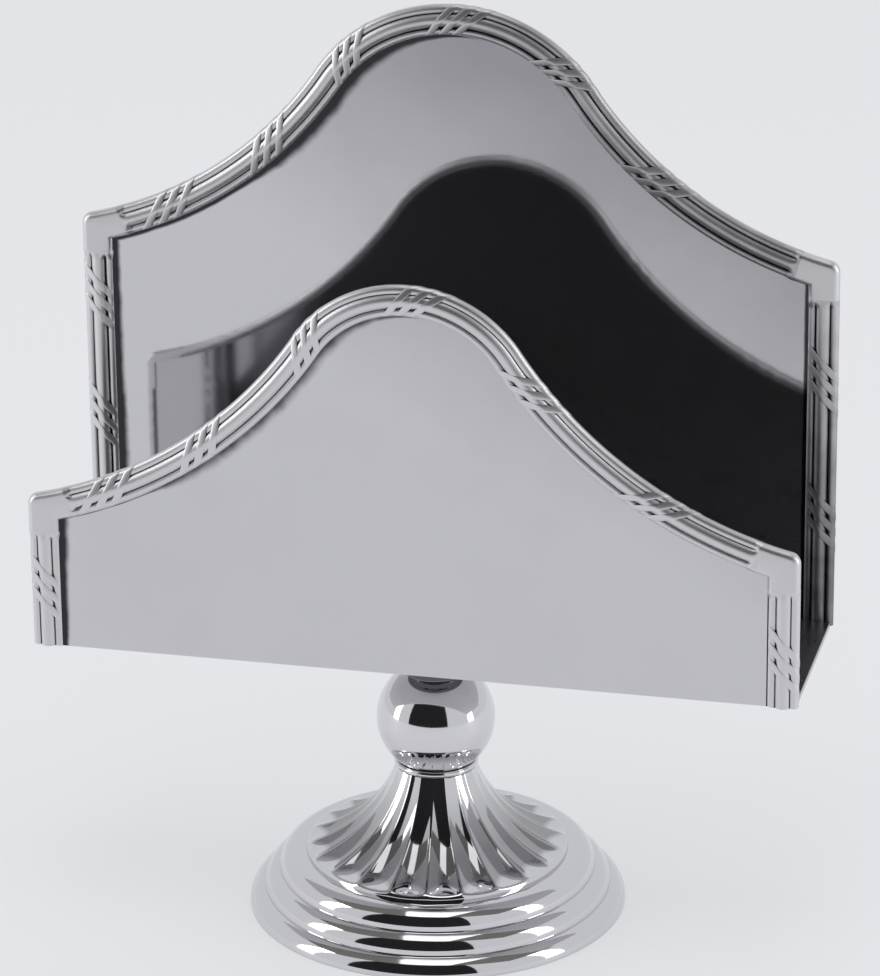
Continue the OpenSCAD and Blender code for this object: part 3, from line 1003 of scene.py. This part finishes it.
class NapkinNeckAndBall(bpy.types.Operator):
    """Turn the neck with its flange, the ball and the ring"""

    bl_idname = "napkin.neck_and_ball"
    bl_label = "Neck, ball and ring"

    def execute(self, context):
        pedestal = context.scene.napkin_holder.pedestal
        hole = pedestal.rod_hole
        bottom, top, flange = low("neck_collar").z, high("neck_collar").z, high("neck_collar").x
        shoulder = top - pedestal.flange_thickness
        soft = 0.3 * MM
        profile = [Vector((0, top))]
        profile += arc(Vector((flange - soft, top - soft)), soft, math.pi / 2, 0, 4)
        profile += arc(Vector((flange - soft, shoulder + soft)), soft, 0, -math.pi / 2, 4)
        cove = Vector((pedestal.neck + pedestal.neck_cove, shoulder - pedestal.neck_cove))
        profile += arc(cove, pedestal.neck_cove, math.pi / 2, math.pi, 16)
        inside = (pedestal.neck, bottom), (hole, bottom), (hole, shoulder), (0, shoulder)
        profile += [Vector(point) for point in inside]
        dress(turned("neck", profile, 96), TURNED, "pedestal_silver", "neck_collar")

        ball_low, ball_high, ball = low("ball_knop").z, high("ball_knop").z, high("ball_knop").x
        ring_low, ring_high, ring = low("ring_collar").z, high("ring_collar").z, high("ring_collar").x
        edge = (ring_high - ring_low) / 2
        seat = ring - edge
        centre = Vector((0, ball_low + math.sqrt(ball**2 - seat**2)))
        start, stop = math.atan2(ball_low - centre.y, seat), math.atan2(ball_high - centre.y, pedestal.neck)
        profile = [Vector((hole, ball_low)), *arc(centre, ball, start, stop, 56), Vector((hole, ball_high))]
        dress(turned("ball", profile, 128), TURNED, "pedestal_silver", "ball_knop")

        profile = [Vector((hole, ring_low))]
        profile += arc(Vector((seat, ring_low + edge)), edge, -math.pi / 2, math.pi / 2, 16)
        profile.append(Vector((hole, ring_high)))
        dress(turned("ring", profile, 128), TURNED, "pedestal_silver", "ring_collar")
        return {"FINISHED"}


class NapkinStem(bpy.types.Operator):
    """Turn the flared stem and chase its flutes"""

    bl_idname = "napkin.stem"
    bl_label = "Fluted stem"

    # Steps round one flute, and those among them that its land between two flutes takes
    ROUND_FLUTE, LAND = 24, 2
    # Share of the way down at which a flute is deepest
    DEEPEST = 0.85
    # How far a point may lie off the profile and still count as on it
    SLACK = 0.02 * MM

    def execute(self, context):
        pedestal = context.scene.napkin_holder.pedestal
        base, top, rim = low("fluted_stem").z, high("fluted_stem").z, high("fluted_stem").x
        upper = Vector((pedestal.stem_top, top))
        lower = Vector((rim, base + pedestal.stem_rim))
        chord = lower - upper
        out = Vector((-chord.y, chord.x)).normalized()
        flare = pedestal.stem_flare
        centre = (upper + lower) / 2 + out * math.sqrt(flare**2 - chord.length_squared / 4)
        # The rounded edge of the rim touches the flare and the upright
        soft = pedestal.rim_round
        edge = Vector((rim - soft, centre.y - math.sqrt((flare + soft) ** 2 - (centre.x - rim + soft) ** 2)))
        lean = math.atan2(centre.y - edge.y, centre.x - edge.x)
        start = lean - math.pi
        stop = math.atan2(upper.y - centre.y, upper.x - centre.x)
        inner = flare + pedestal.stem_wall
        cap = top - pedestal.stem_cap
        inner_start = -math.pi + math.asin((centre.y - base) / inner)
        inner_stop = -math.pi + math.asin((centre.y - cap) / inner)
        profile = [Vector((rim, base)), *arc(edge, soft, 0, lean, 8)]
        profile += arc(centre, flare, start, stop, 56)[1:]
        profile += [Vector((pedestal.rod_hole, top)), Vector((pedestal.rod_hole, cap))]
        profile += arc(centre, inner, inner_stop, inner_start, 16)
        stem = turned("stem", profile, pedestal.flutes * self.ROUND_FLUTE)
        self.mark_flutes(stem, pedestal, (centre, start, stop), (edge, lean))
        apply(
            stem, "DISPLACE", direction="NORMAL", mid_level=0, strength=-pedestal.flute_depth,
            vertex_group="flutes",
        )
        stem.vertex_groups.clear()
        smooth_over(stem, math.radians(38))
        dress(stem, TURNED, "pedestal_silver", "fluted_stem")
        return {"FINISHED"}

    def mark_flutes(self, stem, pedestal, hollow, edge):
        """Weighs each point of the flare and of the rim's edge by how deep the flutes sink there."""
        (centre, start, stop), (edge_centre, lean) = hollow, edge
        pitch = TURN / pedestal.flutes
        half = pitch / 2 * (1 - self.LAND / self.ROUND_FLUTE)
        top, deep, rim = pedestal.flute_top_depth, pedestal.flute_depth, pedestal.flute_rim_depth
        flutes = stem.vertex_groups.new(name="flutes")
        for vertex in stem.data.vertices:
            x, y, z = vertex.co
            point = Vector((math.hypot(x, y), z))
            on_flare, on_edge = point - centre, point - edge_centre
            if abs(on_flare.length - pedestal.stem_flare) < self.SLACK:
                # A flute deepens towards the rim and rises again just before it
                down = (math.atan2(on_flare.y, on_flare.x) - stop) / (start - stop)
                depth = top + (deep - top) * min(1, down / self.DEEPEST) ** 2
                depth -= (deep - rim) * (max(0, down - self.DEEPEST) / (1 - self.DEEPEST)) ** 2
            elif abs(on_edge.length - pedestal.rim_round) < self.SLACK:
                depth = rim * max(0, math.atan2(on_edge.y, on_edge.x) / lean) ** 2
            else:
                continue
            # A flute lies in the middle of the front, and every pitch from there
            off = (math.atan2(x, -y) + pitch / 2) % pitch - pitch / 2
            bowl = max(0, 1 - (off / half) ** 2)
            flutes.add([vertex.index], bowl * depth / deep, "REPLACE")


class NapkinFoot(bpy.types.Operator):
    """Spin the hollow foot with its rounded steps"""

    bl_idname = "napkin.foot"
    bl_label = "Stepped foot"

    def execute(self, context):
        pedestal = context.scene.napkin_holder.pedestal
        height, radius = high("stepped_foot").z, high("stepped_foot").x
        rise, run = height / pedestal.steps, pedestal.step_run

        def outline(inset):
            """The steps from the table to the rod, drawn inset for the hollow inside."""
            soft = pedestal.step_round - inset
            points = [Vector((radius - inset, 0))]
            for i in range(pedestal.steps):
                edge = radius - inset - i * run
                centre = Vector((edge - soft, (i + 1) * rise - pedestal.step_round))
                inner = edge - run if i + 1 < pedestal.steps else pedestal.rod_hole
                # The next step rises out of the round edge of this one, or out of the flat behind it
                reach = math.acos(max(0, (inner - centre.x) / soft))
                points += arc(centre, soft, 0, reach, 18)
                points.append(Vector((inner, points[-1].y)))
            return points

        foot = turned("foot", outline(0) + outline(pedestal.foot_wall)[::-1], 160)
        dress(foot, TURNED, "pedestal_silver", "stepped_foot")
        return {"FINISHED"}


class NapkinStage(bpy.types.Operator):
    """Set up the table, the light and the camera"""

    bl_idname = "napkin.stage"
    bl_label = "Stage"

    # Size of the table, in metres; how evenly lit the eye and the mirrors see it, and how bright that is
    TABLE, EVEN_SHARE, EVEN_LIGHT = 9, 0.6, 0.95
    # Cards that only mirrors show: place, tip from facing up, size and colour
    CARDS = (
        ("Dark opening of the tent", (-0.13, -2.1, 2.12), math.pi / 2, (3.3, 4.2), "1B1B1E"),
        ("Dim ceiling", (0, -0.55, 4.22), math.pi, (8.4, 3.1), "8F8B85"),
    )
    # Lamps: setting with the power, place, point aimed at and size
    LAMPS = (
        ("Top lamp", "top_lamp", (0.02, -0.24, 1.5), (0.02, -0.24, 0), (0.62, 1)),
        ("Left lamp", "side_lamp", (-0.95, -0.36, 0.5), (0, 0, 0.5), (0.22, 0.98)),
        ("Right lamp", "side_lamp", (1, -0.1, 0.5), (0, 0, 0.5), (0.22, 0.98)),
    )
    # The photograph's focal length and height in pixels, and the sensor's long side, upright, in millimetres
    FOCAL, PICTURE, SENSOR = 4983, 976, 36
    NEAREST, FARTHEST = 0.01, 20

    def execute(self, context):
        stage = context.scene.napkin_holder.stage
        context.scene.view_settings.view_transform = "Standard"
        self.table(stage)
        self.tent(context, stage)
        self.lamps(stage)
        self.camera(context, stage)
        return {"FINISHED"}

    def flat(self, name, matrix, size, shade, roughness):
        """A flat sheet of the stage with a plain finish."""
        bpy.ops.object.select_all(action="DESELECT")
        bpy.ops.mesh.primitive_plane_add(size=1)
        sheet = bpy.context.object
        sheet.name = name
        sheet.matrix_world = matrix @ Matrix.Diagonal((*size, 1, 1))
        material = bpy.data.materials.new(name)
        material.use_nodes = True
        shader = material.node_tree.nodes["Principled BSDF"]
        feed(shader, {"Base Color": (*shade, 1), "Roughness": roughness})
        sheet.data.materials.append(material)
        return sheet

    def table(self, stage):
        # A hair lower than the foot, so that the two don't fall together
        level = Matrix.Translation((0, 0, -0.03 * MM))
        top = self.flat("Pale table top", level, (self.TABLE, self.TABLE), stage.floor, 0.6)
        # The eye, mirrors and glass show the table lit from all sides, with shadows less than half as deep
        tree = top.data.materials[0].node_tree
        ray = node(tree, "LightPath").outputs
        seen = node(tree, "Math", {0: ray["Is Camera Ray"], 1: ray["Is Glossy Ray"]}, operation="MAXIMUM")
        seen = node(tree, "Math", {0: seen, 1: ray["Is Transmission Ray"]}, operation="MAXIMUM")
        share = node(tree, "Math", {0: seen, 1: self.EVEN_SHARE}, operation="MULTIPLY")
        even = node(tree, "Emission", {"Color": (*stage.floor, 1), "Strength": self.EVEN_LIGHT})
        mix = node(tree, "MixShader", {0: share, 1: tree.nodes["Principled BSDF"], 2: even})
        feed(tree.nodes["Material Output"], {"Surface": mix})

    def tent(self, context, stage):
        """White all round, with the dark opening that the camera looks through."""
        world = bpy.data.worlds.new("White tent")
        context.scene.world = world
        world.use_nodes = True
        sky = world.node_tree.nodes["Background"]
        feed(sky, {"Color": (*stage.surround, 1), "Strength": stage.surround_light})
        for name, spot, tip, size, code in self.CARDS:
            matrix = Matrix.Translation(spot) @ Matrix.Rotation(tip, 4, "X")
            card = self.flat(name, matrix, size, linear(code), 0.9)
            # Only mirrors show the card: the table is lit as if by the whole tent
            card.visible_camera = card.visible_diffuse = card.visible_shadow = False

    def lamps(self, stage):
        for name, power, spot, aim, size in self.LAMPS:
            bpy.ops.object.light_add(type="AREA", location=spot)
            lamp = bpy.context.object
            lamp.name = name
            lamp.rotation_euler = (Vector(aim) - Vector(spot)).to_track_quat("-Z", "Y").to_euler()
            lamp.data.shape = "RECTANGLE"
            lamp.data.size, lamp.data.size_y = size
            lamp.data.energy = getattr(stage, power)
            lamp.visible_camera = False

    def camera(self, context, stage):
        turn, rise, roll = stage.camera_turn, stage.camera_rise, stage.camera_roll
        back = Vector((math.sin(turn) * math.cos(rise), -math.cos(turn) * math.cos(rise), math.sin(rise)))
        right = Vector((math.cos(turn), math.sin(turn), 0))
        up = back.cross(right)
        tilted = math.cos(roll) * right + math.sin(roll) * up
        axes = Matrix((tilted, back.cross(tilted), back)).transposed().to_4x4()
        stand = Vector(stage.camera_aim) + stage.camera_distance * back
        bpy.ops.object.camera_add()
        camera = context.object
        camera.name = "Camera"
        camera.matrix_world = Matrix.Translation(stand) @ axes
        camera.data.sensor_width = self.SENSOR
        camera.data.lens = self.SENSOR * self.FOCAL / self.PICTURE
        camera.data.clip_start, camera.data.clip_end = self.NEAREST, self.FARTHEST
        context.scene.camera = camera


class NapkinPanel(bpy.types.Panel):
    """Lists the steps that build the napkin holder"""

    bl_idname = "VIEW3D_PT_napkin_holder"
    bl_label = "Napkin holder"
    bl_space_type = "VIEW_3D"
    bl_region_type = "UI"
    bl_category = "Napkin holder"

    def draw(self, context):
        for step in STEPS:
            self.layout.operator(step.bl_idname)


STEPS = (
    NapkinStage, NapkinFinishes, NapkinSheets, NapkinTopBorders, NapkinSideBorders, NapkinCorners,
    NapkinNeckAndBall, NapkinStem, NapkinFoot,
)
CLASSES = (
    TraySizes, BorderSizes, PedestalSizes, FinishColours, StageSettings, NapkinHolder, *STEPS, NapkinPanel,
)


def register():
    for kind in CLASSES:
        bpy.utils.register_class(kind)
    bpy.types.Scene.napkin_holder = PointerProperty(type=NapkinHolder)


def unregister():
    del bpy.types.Scene.napkin_holder
    for kind in reversed(CLASSES):
        bpy.utils.unregister_class(kind)


def main():
    register()
    for step in STEPS:
        getattr(bpy.ops.napkin, step.bl_idname.split(".")[1])()


if __name__ == "__main__":
    main()
